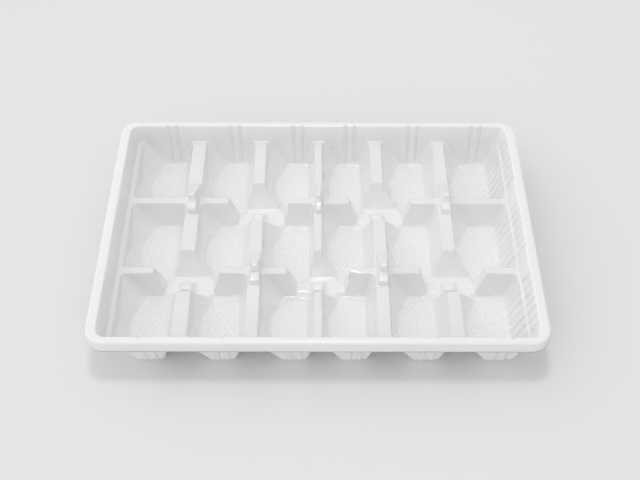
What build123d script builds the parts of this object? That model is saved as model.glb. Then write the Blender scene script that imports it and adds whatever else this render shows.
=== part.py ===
# A thermoformed food tray: one sheet of white plastic drawn down into six columns
# by three rows of cells inside a raised rim.
# The sheet is what lies between two bodies, one under its upper face and one under its lower face.
# Both come from the same functions, the second moved in by the gauge of the sheet.
import os
from math import atan, cos, hypot, radians, sqrt, tan

from build123d import *

os.makedirs("parts", exist_ok=True)

# Sheet, rim and outline
length = 240.0
width = 157.5
height = 30.5
gauge = 0.5
corner_radius = 10.0
side_band = 5.7
end_band = 3.95
crown_chamfer = 0.9
skirt_depth = 6.0
skirt_draft = 2.0
lip_width = 0.6
overrun = 1.0

# Side walls above the ledges, which lie level with the rib tops
rib_height = 19.0
side_wall_run = 2.7
ledge_width = 2.55
last_ledge_width = 1.15
tier_radius = 5.0

# Ribs, and the cell walls between them
rib_width = 7.0
middle_rib_width = 4.6
cross_rib_width = 4.28
middle_cell_loss = 2.05
end_draft = 7.5
right_wall_run = 5.1
left_wall_draft = 20.0
cell_chamfer = 2.0

# Left side of a cell: two corner facets and a round scoop, let in below the plain wall
facet_run = 11.8
facet_skew = 0.25
scoop_run = 5.2
scoop_lean_share = 0.79

# Open crossings: the ribs stop round a low saddle with a nub
gap_length = 37.0
gap_width = 28.0
gap_length_run = 5.1
gap_width_run = 7.0
gap_shift = 1.2
saddle_height = 2.5
nub_height = 8.0
nub_length = 5.3
nub_width = 3.2
nub_chamfer = 0.8
nub_draft = 18.0

# Full crossings: a two-step stud, square in front and ramped behind
stud_reach = 9.6
stud_step = 6.4
stud_crest = 4.0
stud_ramp = 12.9
stud_low_rise = 3.8
stud_high_rise = 8.6
stud_low_width = 4.8
stud_high_width = 3.4
stud_draft = 10.0
middle_stud_share = 0.6

# Upright flutes in the end walls
flute_width = 3.2
flute_depth = 0.8
flute_spacing = 5.4
flute_flat_share = 0.45
flute_foot_share = 0.65

# Six columns fill the length between the ledges; the two middle ones are narrower at the middle rib
inner_half = length / 2 - side_band - side_wall_run - ledge_width
column_pitch = (inner_half + rib_width + middle_cell_loss - middle_rib_width / 2) / 3
cell_half = (column_pitch - rib_width) / 2
narrow_half = cell_half - middle_cell_loss
middle_pitch = 2 * narrow_half + middle_rib_width
half_columns = [middle_pitch / 2 + n * column_pitch for n in range(3)]
columns = [-x for x in reversed(half_columns)] + half_columns
ribs = [(left + right) / 2 for left, right in zip(columns, columns[1:])]
middle_rib = 2

# Three rows fill the width: the end walls run straight from the rim to the floors
end_slope = tan(radians(end_draft))
rise = rib_height - gauge
end_half = width / 2 - end_band
row_pitch = (2 * (end_half - (height - rib_height) * end_slope) + cross_rib_width) / 3
cell_half_depth = (row_pitch - cross_rib_width) / 2
floor_half_depth = cell_half_depth - rise * end_slope
rows = [row_pitch, 0, -row_pitch]
crossings = [row_pitch / 2, -row_pitch / 2]

# Places across one cell, from the middle of its column
wall_foot = cell_half - right_wall_run
strip_edge = facet_run - cell_half
disc_radius = wall_foot + cell_half - scoop_run
last_cell_gain = ledge_width - last_ledge_width
strip_middle = (wall_foot + strip_edge) / 2
flute_places = [strip_middle - flute_spacing / 2, strip_middle + flute_spacing / 2]

# Full crossings and gaps take turns along each cross rib
grid = [(i, n) for i in range(len(ribs)) for n in range(len(crossings))]
full = [(i, crossings[n]) for i, n in grid if i % 2 == n]
gaps = [(i, crossings[n]) for i, n in grid if i % 2 != n]

lip_base = height - skirt_depth
skirt_run = skirt_depth * tan(radians(skirt_draft))
chamfer_growth = 2 - sqrt(2)
core_inset = 2 * gauge


def spread(k, slope):
    """Sideways step that moves a wall of this slope out by k, square to its face."""
    return k / cos(atan(slope))


def pit(k, floor, top, left, right, half_depth, left_slope, right_slope, end_slope):
    """A straight-sided hollow; its walls stand at left, right and half_depth on the level top."""
    deep = floor - k
    ceiling = top + overrun

    def at(edge, slope, z):
        return edge + spread(k, slope) + (z - top) * slope

    with BuildPart() as hollow:
        with BuildSketch(Plane.XZ):
            with BuildLine():
                Polyline(
                    (-at(-left, left_slope, deep), deep),
                    (at(right, right_slope, deep), deep),
                    (at(right, right_slope, ceiling), ceiling),
                    (-at(-left, left_slope, ceiling), ceiling),
                    close=True,
                )
            make_face()
        extrude(amount=width, both=True)
        with BuildSketch(Plane.YZ):
            with BuildLine():
                Polyline(
                    (-at(half_depth, end_slope, deep), deep),
                    (at(half_depth, end_slope, deep), deep),
                    (at(half_depth, end_slope, ceiling), ceiling),
                    (-at(half_depth, end_slope, ceiling), ceiling),
                    close=True,
                )
            make_face()
        extrude(amount=length, both=True, mode=Mode.INTERSECT)
    return hollow.part


def standing_edges(part):
    """The edges that climb from floor to top."""
    return part.edges().filter_by(Axis.X, reverse=True).filter_by(Axis.Y, reverse=True)


def cell(k, left_half, right_half, right_foot):
    """One cell: a drafted pit cut off by two corner facets, with the round scoop let into them."""
    right_slope = (right_half - right_foot) / rise
    left_slope = tan(radians(left_wall_draft))
    facet_slope = (left_half + strip_edge + facet_skew * (cell_half_depth - floor_half_depth)) / rise
    scoop_slope = scoop_lean_share * (left_half + wall_foot - disc_radius) / rise
    deep = gauge - k
    depth = rib_height + overrun - deep
    deep_radius = disc_radius + spread(k, scoop_slope) - k * scoop_slope
    corner = cell_chamfer + k * chamfer_growth
    open_pit = pit(k, gauge, rib_height, -length, right_half, cell_half_depth, 0, right_slope, end_slope)
    plain_pit = pit(
        k, gauge, rib_height, -left_half, right_half, cell_half_depth, left_slope, right_slope, end_slope
    )
    open_pit = chamfer(standing_edges(open_pit), corner)
    plain_pit = chamfer(standing_edges(plain_pit), corner)
    with BuildPart() as bowl:
        with Locations((wall_foot, 0, deep)):
            Cone(
                bottom_radius=deep_radius,
                top_radius=deep_radius + depth * scoop_slope,
                height=depth,
                align=(Align.CENTER, Align.CENTER, Align.MIN),
            )
        add(open_pit, mode=Mode.INTERSECT)
    with BuildPart() as pocket:
        add(plain_pit)
        for side in (1, -1):
            normal = Vector(1, -side * facet_skew, facet_slope).normalized()
            foot = Vector(strip_edge, side * floor_half_depth, gauge)
            split(bisect_by=Plane(origin=foot - normal * k, z_dir=normal), keep=Keep.TOP)
        add(bowl)
    return pocket.part


def gap(k):
    """The low saddle that joins four cells where neither rib runs on."""
    deep = rib_height - saddle_height
    end = gap_length_run / deep
    side = gap_width_run / deep
    return pit(k, saddle_height, rib_height, -gap_length / 2, gap_length / 2, gap_width / 2, end, end, side)


def nub(k):
    """A low tapered peg that stiffens a saddle."""
    with BuildPart() as peg:
        with BuildSketch(Plane.XY.offset(nub_height - k)) as crest:
            Rectangle(nub_length - 2 * k, nub_width - 2 * k)
            chamfer(crest.vertices(), nub_chamfer - k * chamfer_growth)
        extrude(amount=-(nub_height - k), taper=-nub_draft)
    return peg.part


def stud(k, share):
    """A two-step peg on a crossing, square in front and ramped behind, hollow below."""
    low = rib_height + stud_low_rise - k
    high = rib_height + stud_high_rise - k
    root = rib_height - stud_low_rise
    front = -stud_reach + k
    step = -stud_reach + stud_step + k
    ramp_slope = stud_high_rise / stud_ramp
    crest = -stud_reach + stud_step + stud_crest - k * (hypot(1, ramp_slope) - 1) / ramp_slope
    foot = crest + (high - root) / ramp_slope
    low_half = share * stud_low_width / 2 - k
    high_half = share * stud_high_width / 2 - k
    foot_half = low_half + (low - root) * tan(radians(stud_draft)) * share
    with BuildPart() as peg:
        with BuildSketch(Plane.YZ):
            with BuildLine():
                Polyline(
                    (front, root),
                    (front, low),
                    (step, low),
                    (step, high),
                    (crest, high),
                    (foot, root),
                    close=True,
                )
            make_face()
        extrude(amount=rib_width, both=True)
        with BuildSketch(Plane.XZ):
            with BuildLine():
                Polyline(
                    (-foot_half, root),
                    (foot_half, root),
                    (low_half, low),
                    (high_half, low),
                    (high_half, high),
                    (-high_half, high),
                    (-high_half, low),
                    (-low_half, low),
                    close=True,
                )
            make_face()
        extrude(amount=width, both=True, mode=Mode.INTERSECT)
    return peg.part


def flute(k):
    """A shallow groove down the back wall, wider and deeper at the rim than at the floor."""
    with BuildPart() as groove:
        for z, share in ((gauge - k, flute_foot_share), (height + overrun, 1)):
            wall = end_half - (height - z) * end_slope
            face = wall + spread(k, end_slope)
            half = share * flute_width / 2
            flat = half * flute_flat_share
            depth = share * flute_depth
            grow = k * tan(atan(depth / (half - flat)) / 2)
            with BuildSketch(Plane.XY.offset(z)):
                with BuildLine():
                    Polyline(
                        (-half - grow, wall - overrun),
                        (-half - grow, face),
                        (-flat - grow, face + depth),
                        (flat + grow, face + depth),
                        (half + grow, face),
                        (half + grow, wall - overrun),
                        close=True,
                    )
                make_face()
        loft()
    return groove.part


def body(k, inset, foot):
    """Everything below one face of the sheet; k is how far that face lies below the upper one."""
    side_slope = side_wall_run / (height - rib_height)
    side_half = length / 2 - side_band
    cavity = pit(k, rib_height, height, -side_half, side_half, end_half, side_slope, side_slope, end_slope)
    cavity = fillet(standing_edges(cavity), tier_radius + k)
    plain_cell = cell(k, cell_half, cell_half, wall_foot)
    third_cell = cell(k, cell_half, narrow_half, wall_foot)
    fourth_cell = cell(k, narrow_half, cell_half, wall_foot)
    last_cell = cell(k, cell_half, cell_half + last_cell_gain, wall_foot + last_cell_gain)
    saddle = gap(k)
    peg = nub(k)
    side_stud = stud(k, 1)
    middle_stud = stud(k, middle_stud_share)
    groove = flute(k)
    with BuildPart() as block:
        with BuildSketch(Plane.XY.offset(lip_base)):
            RectangleRounded(
                length + 2 * (skirt_run - k), width + 2 * (skirt_run - k), corner_radius + skirt_run - k
            )
        extrude(amount=skirt_depth - k, taper=skirt_draft)
        crown = block.faces().sort_by(Axis.Z)[-1].edges()
        chamfer(crown, crown_chamfer - k * chamfer_growth)
        with BuildSketch(Plane.XY.offset(foot)):
            RectangleRounded(length - 2 * inset, width - 2 * inset, corner_radius - inset)
        extrude(amount=lip_base - foot)
        add(cavity, mode=Mode.SUBTRACT)
        with Locations([(x, y) for x in columns[:2] + [columns[4]] for y in rows]):
            add(plain_cell, mode=Mode.SUBTRACT)
        with Locations([(columns[2], y) for y in rows]):
            add(third_cell, mode=Mode.SUBTRACT)
        with Locations([(columns[3], y) for y in rows]):
            add(fourth_cell, mode=Mode.SUBTRACT)
        with Locations([(columns[5], y) for y in rows]):
            add(last_cell, mode=Mode.SUBTRACT)
        with Locations([(ribs[i] + gap_shift, y) for i, y in gaps]):
            add(saddle, mode=Mode.SUBTRACT)
        with Locations([(ribs[i], y) for i, y in gaps]):
            add(peg)
        with Locations([(x + place, 0) for x in columns for place in flute_places]):
            add(groove, mode=Mode.SUBTRACT)
            add(groove.mirror(Plane.XZ), mode=Mode.SUBTRACT)
        with Locations([(ribs[i], y) for i, y in full if i != middle_rib]):
            add(side_stud)
        with Locations([(ribs[i], y) for i, y in full if i == middle_rib]):
            add(middle_stud)
    return block.part


upper = body(0, core_inset, 0)
lower = body(gauge, gauge, -overrun)

with BuildPart() as tray:
    add(upper)
    with BuildSketch(Plane.XY.offset(lip_base)):
        RectangleRounded(
            length + 2 * (skirt_run + lip_width),
            width + 2 * (skirt_run + lip_width),
            corner_radius + skirt_run + lip_width,
        )
        RectangleRounded(
            length - 2 * core_inset,
            width - 2 * core_inset,
            corner_radius - core_inset,
            mode=Mode.SUBTRACT,
        )
    extrude(amount=gauge)
    add(lower, mode=Mode.SUBTRACT)

tray.part.label = "tray"
export_step(tray.part, "parts/tray.step")
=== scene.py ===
import math

import bpy
import numpy as np
from mathutils import Matrix, Vector


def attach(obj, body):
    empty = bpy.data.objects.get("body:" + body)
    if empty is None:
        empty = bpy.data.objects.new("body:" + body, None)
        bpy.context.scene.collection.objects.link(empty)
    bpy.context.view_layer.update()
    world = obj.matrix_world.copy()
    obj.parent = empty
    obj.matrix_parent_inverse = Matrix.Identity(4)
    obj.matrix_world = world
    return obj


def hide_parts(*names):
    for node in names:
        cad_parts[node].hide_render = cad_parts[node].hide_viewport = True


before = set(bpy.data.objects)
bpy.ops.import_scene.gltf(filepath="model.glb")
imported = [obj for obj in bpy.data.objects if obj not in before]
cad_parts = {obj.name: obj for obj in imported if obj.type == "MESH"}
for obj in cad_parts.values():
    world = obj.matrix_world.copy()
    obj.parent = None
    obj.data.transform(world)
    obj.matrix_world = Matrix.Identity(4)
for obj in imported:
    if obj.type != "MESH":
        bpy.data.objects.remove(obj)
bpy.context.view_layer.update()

# The tray's one sheet: white plastic, half a millimetre thick, warmed and drawn down over a mould.
# Its upper face is found here from the mould's own shapes, each the distance to a wall, joined by
# rounded corners as the stretched sheet has them; the lower face follows one gauge below.
mm = 0.001
GAUGE = 0.5 * mm
LENGTH = 240.0 * mm
WIDTH = 157.5 * mm
HEIGHT = 30.5 * mm
CORNER = 10.0 * mm
SIDE_BAND = 5.7 * mm
END_BAND = 3.95 * mm
SKIRT = 7.3 * mm
LIP = 0.6 * mm
CROWN = 1.2 * mm
SKIRT_DRAFT = math.radians(2.0)

RIB_TOP = 19.0 * mm
SIDE_RUN = 2.7 * mm
LEDGE = 2.55 * mm
LAST_LEDGE = 1.15 * mm
END_DRAFT = math.radians(7.5)
COLUMN_PITCH = 38.6 * mm
MIDDLE_PITCH = 32.1 * mm
RIB_WIDTH = 7.0 * mm
MIDDLE_RIB = 4.6 * mm
FIRST_RIB_GAIN = 1.2 * mm
CROSS_RIB = 4.28 * mm
WALL_RUN = 5.1 * mm
SCARP_DRAFT = math.radians(7.0)
SCOOP_SLOPE = 0.42
DISC = 21.3 * mm
STRIP = 14.7 * mm
FACET_SKEW = 0.25

GAP_LENGTH = 37.0 * mm
GAP_WIDTH = 28.0 * mm
GAP_LENGTH_RUN = 5.1 * mm
GAP_WIDTH_RUN = 7.0 * mm
GAP_SHIFT = 1.2 * mm
SADDLE = 2.5 * mm
NUB_TOP = 7.4 * mm
NUB_HALF = 2.45 * mm
NUB_FRONT = -5.0 * mm
NUB_BACK = -1.6 * mm
NUB_LEANS = (0.467, 0.3, 1.085)

STUD_FRONT = -9.7 * mm
STUD_STEP = -3.4 * mm
STUD_CREST = -1.2 * mm
STUD_RAMP = 14.2 * mm
STUD_LOW = 3.8 * mm
STUD_HIGH = 8.6 * mm
STUD_BACK = 2.0 * mm
STUD_MIDDLE = 6.7 * mm
STUD_LOW_HALF = 2.45 * mm
STUD_HIGH_HALF = 1.7 * mm
STUD_LOW_LEAN = 0.2
STUD_HIGH_LEAN = 0.13
STUD_FACE_LEAN = 0.04
STUD_SHIFT = 0.6 * mm
MIDDLE_STUD = 0.6

FLUTE_DEPTH = 1.1 * mm
FLUTE_SPACING = 5.4 * mm
FLUTE_GENTLE = 2.3 * mm
FLUTE_STEEP = 0.8 * mm
FLUTE_FOOT = 0.65
TOOTH_PITCH = 5.15 * mm
TOOTH_FIRST = 16.7 * mm
TOOTH_COUNT = 7
TOOTH_DEPTH = 0.6 * mm
TOOTH_STEEP = 0.35 * mm
LEFT_TOOTH_SHARE = 0.5

end_slope = math.tan(END_DRAFT)
rise = RIB_TOP - GAUGE
lip_base = HEIGHT - SKIRT
end_half = WIDTH / 2 - END_BAND
side_half = LENGTH / 2 - SIDE_BAND
row_pitch = (2 * (end_half - (HEIGHT - RIB_TOP) * end_slope) + CROSS_RIB) / 3
cell_depth = (row_pitch - CROSS_RIB) / 2
floor_depth = cell_depth - rise * end_slope
cell_half = (COLUMN_PITCH - RIB_WIDTH) / 2
narrow_half = (MIDDLE_PITCH - MIDDLE_RIB) / 2
wall_foot = cell_half - WALL_RUN
last_gain = LEDGE - LAST_LEDGE
strip_edge = wall_foot - STRIP
RIGHT_OF_MIDDLE, LEFT_OF_MIDDLE, NARROWED = 3, 2, 1
MIDDLE_OF_RIBS = 2
half_columns = MIDDLE_PITCH / 2 + COLUMN_PITCH * np.arange(3)
columns = np.concatenate([-half_columns[::-1], half_columns])
ribs = (columns[1:] + columns[:-1]) / 2
rows = np.array([row_pitch, 0.0, -row_pitch])
crossings = np.array([row_pitch / 2, -row_pitch / 2])

EDGE_ROUND = 0.3 * mm
SOFT_ROUND = 2.0 * mm
SOFT_BELOW = RIB_TOP / 3
SOFT_FADE = RIB_TOP / 6
FLOOR_ROUND = 0.9 * mm
WALL_FOOT_ROUND = 2.2 * mm
LEDGE_ROUND = 0.5 * mm
FOOT_BLEND = 4.0 * mm
CELL_ROUND = 2.5 * mm
CORNER_FOOT = 1.6 * mm
CORNER_GROWTH = 0.3
EDGE_FADE = 0.6
TIER_ROUND = 5.0 * mm
SADDLE_ROUND = 0.3 * mm
SCOOP_ROUND = 0.5 * mm
NUB_ROUND = 0.7 * mm
STUD_ROUND = 0.35 * mm
RIM_ROUND = 0.7 * mm
FAR = 1.0


def inner(a, b, radius):
    """The nearer of two faces, their inside corner rounded."""
    return np.maximum(radius, np.minimum(a, b)) - np.hypot(np.maximum(radius - a, 0), np.maximum(radius - b, 0))


def outer(a, b, radius):
    """The further of two faces, their outside corner rounded."""
    return -inner(-a, -b, radius)


def wall(edge, slope, height, level, across):
    """Distance into the hollow from a sloping wall that stands at edge on the given level."""
    return (edge + (height - level) * slope - across) / np.sqrt(1 + slope**2)


def nearest(values, points):
    return np.abs(points[..., None] - values).argmin(axis=-1)


def groove(ahead, gentle, steep, depth):
    """Depth of a lopsided groove, deepest where ahead is 0: a gentle flank before it and a steep one after."""
    return depth * np.minimum((ahead + gentle) / gentle, (steep - ahead) / steep).clip(0)


def end_flutes(z, local_x):
    """Depth of the two upright flutes of each cell in the end walls."""
    share = FLUTE_FOOT + (1 - FLUTE_FOOT) * np.clip(z / HEIGHT, 0, 1)
    middle = (wall_foot + strip_edge + FLUTE_GENTLE - FLUTE_STEEP) / 2
    side = np.where(local_x > middle - FLUTE_STEEP, 1, -1) * FLUTE_SPACING / 2
    return groove(local_x - middle - side, share * FLUTE_GENTLE, share * FLUTE_STEEP, share * FLUTE_DEPTH)


def side_teeth(local_y):
    """Depth of the row of saw teeth that each row of cells has in the side walls."""
    past = TOOTH_FIRST - local_y
    tooth = np.floor(past / TOOTH_PITCH)
    inside = (tooth >= 0) & (tooth < TOOTH_COUNT)
    ahead = TOOTH_STEEP + tooth * TOOTH_PITCH - past
    return np.where(inside, groove(ahead, TOOTH_PITCH - TOOTH_STEEP, TOOTH_STEEP, TOOTH_DEPTH), 0)


def air(x, y, z):
    """Distance from the sheet's upper face, above zero in the air over it."""
    column = nearest(columns, x)
    local_x = x - columns[column]
    row = nearest(rows, y)
    local_y = y - rows[row]
    left_half = np.where(column == RIGHT_OF_MIDDLE, narrow_half, cell_half)
    left_half = left_half - np.where(column == NARROWED, FIRST_RIB_GAIN, 0)
    right_half = np.where(column == LEFT_OF_MIDDLE, narrow_half, cell_half)
    last = column == len(columns) - 1
    teeth = side_teeth(local_y) * np.where(x < 0, LEFT_TOOTH_SHARE, 1.0)

    # The upper walls under the rim, and the end wall, which runs on down to the floor
    side_slope = SIDE_RUN / (HEIGHT - RIB_TOP)
    side = wall(side_half, side_slope, z, HEIGHT, np.abs(x) - teeth)
    end = wall(end_half, end_slope, z, HEIGHT, np.abs(y) - end_flutes(z, local_x))

    # One cell: the scoop and two corner facets, all below a steep flat left wall
    scarp = wall(left_half, math.tan(SCARP_DRAFT), z, RIB_TOP, -local_x)
    facet_slope = (strip_edge + left_half + FACET_SKEW * (cell_depth - floor_depth)) / rise
    facet = (local_x - strip_edge - FACET_SKEW * (np.abs(local_y) - floor_depth) + facet_slope * (z - GAUGE))
    facet = facet / np.sqrt(1 + FACET_SKEW**2 + facet_slope**2)
    scoop = wall(DISC, SCOOP_SLOPE, z, GAUGE, np.hypot(local_x - wall_foot, local_y))
    left = inner(scarp, outer(facet, scoop, SCOOP_ROUND), SCOOP_ROUND)
    foot = wall_foot + np.where(last, last_gain, 0)
    right = wall(foot, (right_half - wall_foot) / rise, z, GAUGE, local_x - np.where(last, teeth, 0))
    inward = (np.abs(y) < row_pitch) | (row == 1)
    ends = np.where(inward, wall(cell_depth, end_slope, z, RIB_TOP, np.abs(local_y)), end)
    corner = np.minimum(CELL_ROUND, CORNER_FOOT + CORNER_GROWTH * (z - GAUGE).clip(0))
    cell = inner(inner(left, right, corner), ends, corner)
    foot_round = FLOOR_ROUND + (WALL_FOOT_ROUND - FLOOR_ROUND) * ((left - right) / FOOT_BLEND).clip(0, 1)
    cell = inner(cell, z - GAUGE, foot_round)
    tier = inner(side, end, TIER_ROUND)
    tier = inner(tier, z - RIB_TOP, LEDGE_ROUND)
    hollow = outer(tier, cell, np.minimum(EDGE_ROUND, EDGE_FADE * end.clip(0)))

    # The open saddle where the ribs stop, on every other crossing
    rib = nearest(ribs, x)
    cross = nearest(crossings, y)
    is_gap = (rib + cross) % 2 == 1
    over_x = x - ribs[rib]
    over_y = y - crossings[cross]
    deep = RIB_TOP - SADDLE
    gap_x = wall(GAP_LENGTH / 2, GAP_LENGTH_RUN / deep, z, RIB_TOP, np.abs(over_x - GAP_SHIFT))
    gap_y = wall(GAP_WIDTH / 2, GAP_WIDTH_RUN / deep, z, RIB_TOP, np.abs(over_y))
    gap = inner(inner(gap_x, gap_y, CELL_ROUND), z - SADDLE, SADDLE_ROUND)
    gap = np.where(is_gap, gap, -FAR)
    soft = EDGE_ROUND + (SOFT_ROUND - EDGE_ROUND) * ((SOFT_BELOW - z) / SOFT_FADE).clip(0, 1)
    hollow = outer(hollow, gap, soft)

    # The low nub in each saddle
    flank, front, back = NUB_LEANS
    nub = -wall(NUB_HALF, -flank, z, NUB_TOP, np.abs(over_x))
    for face in (
        -wall(NUB_BACK, -back, z, NUB_TOP, over_y),
        -wall(-NUB_FRONT, -front, z, NUB_TOP, -over_y),
        z - NUB_TOP,
    ):
        nub = outer(nub, face, NUB_ROUND)
    hollow = inner(hollow, np.where(is_gap, nub, FAR), NUB_ROUND)

    # The stepped stud on each full crossing
    share = np.where(rib == MIDDLE_OF_RIBS, MIDDLE_STUD, 1.0)
    stud_x = np.abs(over_x - share * STUD_SHIFT)
    ramp_slope = STUD_HIGH / STUD_RAMP
    ramp = (z - RIB_TOP - STUD_HIGH + (over_y - STUD_CREST) * ramp_slope) / math.hypot(1, ramp_slope)
    stud = FAR
    for front, half, top, lean in (
        (STUD_FRONT, STUD_LOW_HALF, STUD_LOW, STUD_LOW_LEAN),
        (STUD_STEP, STUD_HIGH_HALF, STUD_HIGH, STUD_HIGH_LEAN),
        (STUD_BACK, STUD_LOW_HALF, STUD_MIDDLE, STUD_HIGH_LEAN),
    ):
        flank = -wall(share * half, -lean, z, RIB_TOP + top, stud_x)
        face = -wall(-front, -STUD_FACE_LEAN, z, RIB_TOP + top, -over_y)
        block = outer(outer(flank, face, STUD_ROUND), outer(z - RIB_TOP - top, ramp, STUD_ROUND), STUD_ROUND)
        stud = inner(stud, block, STUD_ROUND / 2)
    hollow = inner(hollow, np.where(is_gap, FAR, stud), STUD_ROUND / 2)

    # The rim: its band, crisp outer edge and skirt, and the lip at the skirt's foot
    skirt_slope = math.tan(SKIRT_DRAFT)
    grow = (HEIGHT - z) * skirt_slope
    past_x = np.abs(x) - (LENGTH / 2 - CORNER)
    past_y = np.abs(y) - (WIDTH / 2 - CORNER)
    outline = np.hypot(past_x.clip(0), past_y.clip(0)) + np.minimum(np.maximum(past_x, past_y), 0) - CORNER
    outside = (outline - grow) / math.hypot(1, skirt_slope)
    hollow = outer(hollow, z - HEIGHT, RIM_ROUND)
    hollow = outer(hollow, outside, CROWN)
    return inner(hollow, np.where(outline > -CROWN, z - lip_base - GAUGE, FAR), GAUGE)


# The sheet is sampled on a fine net whose outer lines bend round the rim's corners and run down the skirt
STEP = 0.34 * mm
FINE_STEP = 0.11 * mm
FLAT_EDGE = CORNER - CROWN
CROWN_LINES = 7
LIP_LINES = 5
HALVINGS = 15
turn = np.linspace(0, math.pi / 2, CROWN_LINES)
skirt_foot = lip_base + GAUGE * 2
foot_turn = np.linspace(0, math.pi / 2, LIP_LINES)
grow_foot = (HEIGHT - skirt_foot) * math.tan(SKIRT_DRAFT)
profile = [(FLAT_EDGE + CROWN * math.sin(a), HEIGHT - CROWN * (1 - math.cos(a))) for a in turn]
skirt_length = HEIGHT - CROWN - skirt_foot
profile += [(CORNER + grow_foot * t, HEIGHT - CROWN - skirt_length * t) for t in (0.25, 0.5, 0.75)]
profile += [(CORNER + grow_foot + GAUGE * (1 - math.cos(a)), skirt_foot - GAUGE * math.sin(a)) for a in foot_turn]
profile += [(CORNER + grow_foot + LIP, lip_base + GAUGE)]
profile = np.array(profile)
travel = np.concatenate([[0], np.cumsum(np.hypot(*np.diff(profile, axis=0).T))]) + FLAT_EDGE


def lines(half, steep_start, steep_end):
    """Net lines across one direction, closer together on the steep outer walls."""
    flat = half - CROWN
    inner_lines = np.linspace(0, steep_start, math.ceil(steep_start / STEP) + 1)
    steep_lines = np.linspace(steep_start, steep_end, math.ceil((steep_end - steep_start) / FINE_STEP) + 1)
    edge_lines = np.linspace(steep_end, flat, math.ceil((flat - steep_end) / STEP) + 1)
    outward = np.concatenate([inner_lines[1:], steep_lines[1:], edge_lines[1:], travel[1:] - FLAT_EDGE + flat])
    return np.concatenate([-outward[::-1], [0], outward])


side_lines = lines(LENGTH / 2, side_half - SIDE_RUN - LEDGE, side_half + TOOTH_DEPTH + EDGE_ROUND)
end_lines = lines(WIDTH / 2, end_half - HEIGHT * end_slope, end_half + FLUTE_DEPTH + EDGE_ROUND)
net_x, net_y = np.meshgrid(side_lines, end_lines, indexing="ij")
past = np.stack([np.abs(net_x) - LENGTH / 2 + CORNER, np.abs(net_y) - WIDTH / 2 + CORNER])
reach = past.max(axis=0)
bent = np.interp(reach, travel, profile[:, 0])
bent = np.where(reach < FLAT_EDGE, reach, bent)
ahead = past.clip(0)
ahead = ahead / np.maximum(np.hypot(*ahead), mm * mm)
over = np.where(reach > 0, ahead * bent, past)
over = np.where(past > 0, over, past)
x = np.sign(net_x) * (over[0] + LENGTH / 2 - CORNER)
y = np.sign(net_y) * (over[1] + WIDTH / 2 - CORNER)

low = np.zeros_like(x)
high = np.full_like(x, HEIGHT + mm)
for _ in range(HALVINGS):
    middle = (low + high) / 2
    solid = air(x, y, middle) < 0
    low = np.where(solid, middle, low)
    high = np.where(solid, high, middle)
z = np.where(reach > FLAT_EDGE, np.interp(reach, travel, profile[:, 1]), (low + high) / 2)

rows_of, cols_of = x.shape
index = np.arange(rows_of * cols_of).reshape(rows_of, cols_of)
quads = np.stack([index[:-1, :-1], index[1:, :-1], index[1:, 1:], index[:-1, 1:]], axis=-1).reshape(-1, 4)
net = bpy.data.meshes.new("sheet_net")
net.from_pydata([], [], [])
net.vertices.add(index.size)
net.vertices.foreach_set("co", np.stack([x, y, z], axis=-1).reshape(-1).astype(np.float32))
net.loops.add(quads.size)
net.loops.foreach_set("vertex_index", quads.reshape(-1).astype(np.int32))
net.polygons.add(len(quads))
net.polygons.foreach_set("loop_start", np.arange(0, quads.size, 4, dtype=np.int32))
net.update(calc_edges=True)

# Flat stretches need few triangles, so all but a ninth of the net's faces are merged
KEPT_SHARE = 0.107
net_object = bpy.data.objects.new("sheet_net", net)
bpy.context.scene.collection.objects.link(net_object)
thin = net_object.modifiers.new("thin", "DECIMATE")
thin.ratio = KEPT_SHARE
evaluated = net_object.evaluated_get(bpy.context.evaluated_depsgraph_get())
skin = bpy.data.meshes.new_from_object(evaluated)
bpy.data.objects.remove(net_object)


def points(mesh):
    found = np.empty(len(mesh.vertices) * 3)
    mesh.vertices.foreach_get("co", found)
    return found.reshape(-1, 3)


SLOPE_STEP = 0.02 * mm


def facing(at):
    """Unit normals of the upper face, from the slope of the air's distance."""
    slopes = []
    for axis in np.eye(3):
        ahead, behind = at + axis * SLOPE_STEP, at - axis * SLOPE_STEP
        slopes.append(air(*ahead.T) - air(*behind.T))
    slopes = np.stack(slopes, axis=-1)
    return slopes / np.linalg.norm(slopes, axis=-1, keepdims=True)


top = points(skin)
skin.calc_loop_triangles()
patches = np.empty(len(skin.loop_triangles) * 3, dtype=np.int32)
skin.loop_triangles.foreach_get("vertices", patches)
patches = patches.reshape(-1, 3)
spots = top[patches]
slants = facing(spots.mean(axis=1))
normals = np.zeros_like(top)
for at in range(3):
    to_next = spots[:, (at + 1) % 3] - spots[:, at]
    to_last = spots[:, (at + 2) % 3] - spots[:, at]
    area = np.linalg.norm(np.cross(to_next, to_last), axis=1)
    angle = np.arctan2(area, (to_next * to_last).sum(axis=1))
    np.add.at(normals, patches[:, at], slants * (area * angle)[:, None])
normals /= np.linalg.norm(normals, axis=1, keepdims=True)
edge_use = {}
faces = [tuple(face.vertices) for face in skin.polygons]
for face in faces:
    for a, b in zip(face, face[1:] + face[:1]):
        edge_use[(a, b)] = edge_use.get((a, b), 0) + 1
open_edges = [(a, b) for a, b in edge_use if (b, a) not in edge_use]
under = top - normals * GAUGE
count = len(top)
corners = faces + [tuple(v + count for v in reversed(face)) for face in faces]
corners += [(b, a, a + count, b + count) for a, b in open_edges]
sheet = bpy.data.meshes.new("tray_sheet")
sheet.from_pydata(np.concatenate([top, under]).tolist(), [], corners)
sheet.update()
sheet.shade_smooth()
sheet.normals_split_custom_set_from_vertices(np.concatenate([normals, -normals]).tolist())
tray = bpy.data.objects.new("tray_sheet", sheet)
bpy.context.scene.collection.objects.link(tray)


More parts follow.
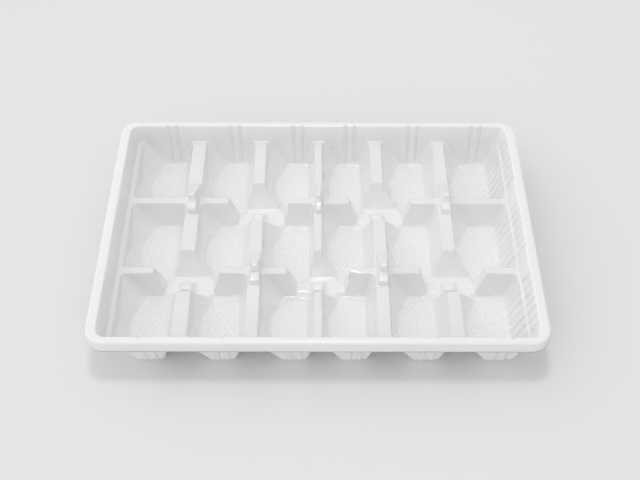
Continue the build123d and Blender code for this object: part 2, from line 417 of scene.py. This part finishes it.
class Finish:
    """A tree of nodes, made one by one, for a material, a sky or a modifier."""

    def __init__(self, tree):
        self.tree = tree

    def node(self, kind, settings=None, sockets=None):
        """One node: its settings first, then the values or links of its sockets."""
        made = self.tree.nodes.new(kind)
        for name, value in (settings or {}).items():
            setattr(made, name, value)
        for name, value in (sockets or {}).items():
            self.feed(made.inputs[name], value)
        return made

    def feed(self, socket, value):
        if isinstance(value, Amount):
            value = value.socket
        if isinstance(value, bpy.types.NodeSocket):
            self.tree.links.new(value, socket)
        else:
            socket.default_value = value

    def amount(self, socket):
        return Amount(self, socket)


class Amount:
    """A number that changes over the surface, for plain expressions."""

    def __init__(self, finish, socket):
        self.finish = finish
        self.socket = socket

    def maths(self, operation, *values, clamp=False):
        settings = {"operation": operation, "use_clamp": clamp}
        made = self.finish.node("ShaderNodeMath", settings, dict(enumerate(values)))
        return Amount(self.finish, made.outputs[0])

    def __add__(self, other):
        return self.maths("ADD", self, other)

    def __radd__(self, other):
        return self.maths("ADD", other, self)

    def __sub__(self, other):
        return self.maths("SUBTRACT", self, other)

    def __rsub__(self, other):
        return self.maths("SUBTRACT", other, self)

    def __mul__(self, other):
        return self.maths("MULTIPLY", self, other)

    def __rmul__(self, other):
        return self.maths("MULTIPLY", other, self)

    def clipped(self):
        return self.maths("MULTIPLY", self, 1.0, clamp=True)


plastic = bpy.data.materials.new("white_plastic")
plastic.use_nodes = True
skin_finish = Finish(plastic.node_tree)
place = skin_finish.node("ShaderNodeTexCoord").outputs["Object"]
height = skin_finish.node("ShaderNodeSeparateXYZ", sockets={"Vector": place}).outputs["Z"]
at_height = skin_finish.amount(height)


def cloud(scale, detail):
    """Uneven patches of about 1/scale metres, from 0 to 1."""
    settings = {"noise_dimensions": "3D"}
    sockets = {"Vector": place, "Scale": scale, "Detail": detail}
    return skin_finish.amount(skin_finish.node("ShaderNodeTexNoise", settings, sockets).outputs["Fac"])


def blend(factor, first, second):
    sockets = {"Factor": factor, "A": first, "B": second}
    return skin_finish.node("ShaderNodeMix", {"data_type": "RGBA"}, sockets).outputs["Result"]


# Painted shade: the white is clearest on the floors and painted greyer and a little bluer towards the height of
# the rib tops, easing partway back towards the rim; it stands in for how the light falls
FLOOR_LEVEL_WHITE = (0.915, 0.91, 0.91, 1)
RIB_TOP_SHADE_WHITE = (0.80, 0.795, 0.808, 1)
RIM_SHADE_EASING = 0.6
up_to_ribs = (at_height * (1 / RIB_TOP)).clipped()
above_ribs = ((at_height - RIB_TOP) * (RIM_SHADE_EASING / (HEIGHT - RIB_TOP))).clipped()
colour = blend(up_to_ribs - above_ribs, FLOOR_LEVEL_WHITE, RIB_TOP_SHADE_WHITE)

# Faint pale patches over it, which are a little duller too, and the skin's fine grain
PALE_MOTTLE = (0.9, 0.898, 0.902, 1)
MOTTLE_FROM = 0.42
MOTTLE_EDGE = 2.2
MOTTLE_SHARE = 0.45
SHINE = 0.14
SHINE_CHANGE = 0.1
GLOSS_LEVEL = 0.95
GRAIN_SHARE = 0.6
GRAIN_HEIGHT = 0.02 * mm
GRAIN_STRENGTH = 0.25
patches_of_white = cloud(45, 3)
mottle = ((patches_of_white - MOTTLE_FROM) * MOTTLE_EDGE).clipped() * MOTTLE_SHARE
grain = cloud(2200, 2) * GRAIN_SHARE + cloud(500, 1)
bump = {"Height": grain, "Distance": GRAIN_HEIGHT, "Strength": GRAIN_STRENGTH}
surface = plastic.node_tree.nodes["Principled BSDF"].inputs
skin_finish.feed(surface["Base Color"], blend(mottle, colour, PALE_MOTTLE))
skin_finish.feed(surface["Roughness"], SHINE + patches_of_white * SHINE_CHANGE)
skin_finish.feed(surface["Normal"], skin_finish.node("ShaderNodeBump", sockets=bump).outputs["Normal"])
skin_finish.feed(surface["Specular IOR Level"], GLOSS_LEVEL)
sheet.materials.append(plastic)
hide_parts("tray")
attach(tray, "root")

# The raised net of fine ridges on the cell floors, pressed into the sheet by the mould so that
# moist food lets go of it. Each short ridge runs from one crossing of the net to the next.
NET_X = 3.2 * mm
NET_Y = 5.0 * mm
RIDGE_WIDTH = 0.95 * mm
RIDGE_HEIGHT = 0.36 * mm
RIDGE_SINK = 0.03 * mm
NET_CLEAR = 1.1 * mm
SMOOTH_DISC = 17.6 * mm
SMOOTH_CELLS = ((0, 2), (0, 3), (2, 2), (2, 3))

across = np.arange(-12, 13)
along = np.arange(-20, 21)
spots, turns = [], []
for row_index, row_y in enumerate(rows):
    for column_index, column_x in enumerate(columns):
        steps_x, steps_y = np.meshgrid(across, along, indexing="ij")
        ridge_x = column_x + (steps_x + 0.5) * NET_X / 2
        ridge_y = row_y + (steps_y + 0.5) * NET_Y / 2
        level = np.full_like(ridge_x, GAUGE + NET_CLEAR)
        kept = air(ridge_x, ridge_y, level) > NET_CLEAR - RIDGE_SINK
        kept &= (np.abs(ridge_x - column_x) < cell_half) & (np.abs(ridge_y - row_y) < cell_depth)
        if (row_index, column_index) in SMOOTH_CELLS:
            kept &= np.abs(ridge_y - row_y) > SMOOTH_DISC
            if row_index == 2:
                kept &= ridge_y > row_y
        lean = math.atan2(NET_Y, NET_X)
        turn_of = np.where((steps_x + steps_y) % 2 == 0, lean, -lean)
        spots += np.stack([ridge_x, ridge_y, np.full_like(ridge_x, GAUGE - RIDGE_SINK)], axis=-1)[kept].tolist()
        turns += turn_of[kept].tolist()
net_points = bpy.data.meshes.new("floor_net")
net_points.from_pydata(spots, [], [])
net_points.attributes.new("turn", "FLOAT", "POINT").data.foreach_set("value", turns)
floor_net = bpy.data.objects.new("floor_net", net_points)
bpy.context.scene.collection.objects.link(floor_net)

ridge_tree = bpy.data.node_groups.new("floor_ridges", "GeometryNodeTree")
ridge_tree.interface.new_socket("Geometry", in_out="INPUT", socket_type="NodeSocketGeometry")
RIDGE_SIZES = {
    "Ridge Length": math.hypot(NET_X, NET_Y) / 2,
    "Ridge Width": RIDGE_WIDTH,
    "Ridge Height": RIDGE_HEIGHT,
}
size_names = {
    name: ridge_tree.interface.new_socket(name, in_out="INPUT", socket_type="NodeSocketFloat").identifier
    for name in RIDGE_SIZES
}
plastic_socket = ridge_tree.interface.new_socket("Plastic", in_out="INPUT", socket_type="NodeSocketMaterial")
ridge_tree.interface.new_socket("Geometry", in_out="OUTPUT", socket_type="NodeSocketGeometry")

# One ridge: a strip of unit size, round across and a little lower towards its ends
CREST_FALL = 0.8
ridges = Finish(ridge_tree)
given = ridges.node("NodeGroupInput").outputs
unit_strip = {"Size X": 1.0, "Size Y": 1.0, "Vertices X": 5, "Vertices Y": 5}
strip = ridges.node("GeometryNodeMeshGrid", sockets=unit_strip).outputs["Mesh"]
position = ridges.node("GeometryNodeInputPosition").outputs[0]
where = ridges.node("ShaderNodeSeparateXYZ", sockets={"Vector": position}).outputs
across_strip = ridges.amount(where["Y"]) * math.pi
along_strip = ridges.amount(where["X"])
crest = across_strip.maths("COSINE", across_strip) * (1.0 - along_strip * along_strip * CREST_FALL)
lift = ridges.node("ShaderNodeCombineXYZ", sockets={"Z": crest}).outputs[0]
raised = {"Geometry": strip, "Offset": lift}
ridge = ridges.node("GeometryNodeSetPosition", sockets=raised).outputs["Geometry"]

# The ridge laid on every point, turned by the point's own angle
sizes = {"X": given["Ridge Length"], "Y": given["Ridge Width"], "Z": given["Ridge Height"]}
turned = ridges.node("GeometryNodeInputNamedAttribute", {"data_type": "FLOAT"}, {"Name": "turn"})
laying = {
    "Points": given["Geometry"],
    "Instance": ridge,
    "Rotation": ridges.node("ShaderNodeCombineXYZ", sockets={"Z": turned.outputs["Attribute"]}).outputs[0],
    "Scale": ridges.node("ShaderNodeCombineXYZ", sockets=sizes).outputs[0],
}
laid = ridges.node("GeometryNodeInstanceOnPoints", sockets=laying).outputs["Instances"]
whole = ridges.node("GeometryNodeRealizeInstances", sockets={"Geometry": laid}).outputs["Geometry"]
smooth = ridges.node("GeometryNodeSetShadeSmooth", sockets={"Geometry": whole}).outputs["Geometry"]
painting = {"Geometry": smooth, "Material": given["Plastic"]}
painted = ridges.node("GeometryNodeSetMaterial", sockets=painting).outputs["Geometry"]
ridges.node("NodeGroupOutput", sockets={"Geometry": painted})

growth = floor_net.modifiers.new("ridges", "NODES")
growth.node_group = ridge_tree
for name, identifier in size_names.items():
    growth[identifier] = RIDGE_SIZES[name]
growth[plastic_socket.identifier] = plastic
grown = bpy.data.meshes.new_from_object(floor_net.evaluated_get(bpy.context.evaluated_depsgraph_get()))
floor_net.modifiers.remove(growth)
floor_net.data = grown
grown.name = "floor_net"
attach(floor_net, "root")

# The pale table that the tray stands on, an even matt grey that runs on far past it.
# It isn't part of the tray, and only takes its shadow.
FLOOR_HALF = 3.0
FLOOR_GREY = (0.8, 0.795, 0.793, 1)
FLOOR_ROUGHNESS = 0.7
floor_mesh = bpy.data.meshes.new("floor")
floor_corners = [(FLOOR_HALF * a, FLOOR_HALF * b, 0) for a, b in ((-1, -1), (1, -1), (1, 1), (-1, 1))]
floor_mesh.from_pydata(floor_corners, [], [(0, 1, 2, 3)])
floor = bpy.data.objects.new("floor", floor_mesh)
bpy.context.scene.collection.objects.link(floor)
paint = bpy.data.materials.new("floor_paint")
paint.use_nodes = True
floor_look = paint.node_tree.nodes["Principled BSDF"].inputs
floor_look["Base Color"].default_value = FLOOR_GREY
floor_look["Roughness"].default_value = FLOOR_ROUGHNESS
floor_mesh.materials.append(paint)

# The light: a room bright on all sides, a little more so at the left and in front, which shapes
# the walls, and one small lamp high above, which draws the highlights on pegs, saddles and rim.
world = bpy.data.worlds.new("studio")
world.use_nodes = True
bpy.context.scene.world = world
sky = Finish(world.node_tree)
SKY_FROM = Vector((-0.95, 0.0, 0.3)).normalized()
SKY_LEVEL = 0.63
SKY_GAIN = 0.52
FRONT_GAIN = 0.2
SKY_COLOUR = (1.0, 0.998, 1.0, 1)
toward = sky.node("ShaderNodeTexCoord").outputs["Generated"]
strength = SKY_LEVEL
for direction, gain in ((SKY_FROM, SKY_GAIN), ((0, -1, 0), FRONT_GAIN)):
    towards = {0: toward, 1: direction}
    share = sky.node("ShaderNodeVectorMath", {"operation": "DOT_PRODUCT"}, towards).outputs["Value"]
    strength = strength + sky.amount(share).clipped() * gain
background = world.node_tree.nodes["Background"].inputs
sky.feed(background["Strength"], strength)
sky.feed(background["Color"], SKY_COLOUR)

LAMP_POWER = 1.35
LAMP_SIZE = 0.14
LAMP_PLACE = (-0.02, 0.08, 0.9)
lamp_data = bpy.data.lights.new("softbox", "AREA")
lamp_data.energy = LAMP_POWER
lamp_data.size = LAMP_SIZE
lamp = bpy.data.objects.new("softbox", lamp_data)
lamp.location = LAMP_PLACE
lamp.rotation_euler = (Vector((0, 0, 0)) - lamp.location).to_track_quat("-Z", "Y").to_euler()
bpy.context.scene.collection.objects.link(lamp)

# The camera stands in front of the tray and looks down on it. Its place, angles and focal length
# were solved from the outline of the rim and the even pitch of the cells.
PHOTO_WIDTH = 640
FOCAL_PIXELS = 888.765
PITCH = math.radians(52.7)
YAW = math.radians(0.178)
ROLL = math.radians(0.25)
forward = Vector((math.sin(YAW) * math.cos(PITCH), math.cos(YAW) * math.cos(PITCH), -math.sin(PITCH)))
level = Vector((math.cos(YAW), -math.sin(YAW), 0))
upright = level.cross(forward)
right = math.cos(ROLL) * level + math.sin(ROLL) * upright
up = -math.sin(ROLL) * level + math.cos(ROLL) * upright
camera_data = bpy.data.cameras.new("camera")
camera_data.sensor_width = 36.0
camera_data.lens = camera_data.sensor_width * FOCAL_PIXELS / PHOTO_WIDTH
camera = bpy.data.objects.new("camera", camera_data)
camera.matrix_world = Matrix((right, up, -forward)).transposed().to_4x4()
camera.location = (0.116 * mm, -310.448 * mm, 421.329 * mm)
bpy.context.scene.collection.objects.link(camera)
bpy.context.scene.camera = camera
bpy.context.scene.view_settings.view_transform = "Standard"
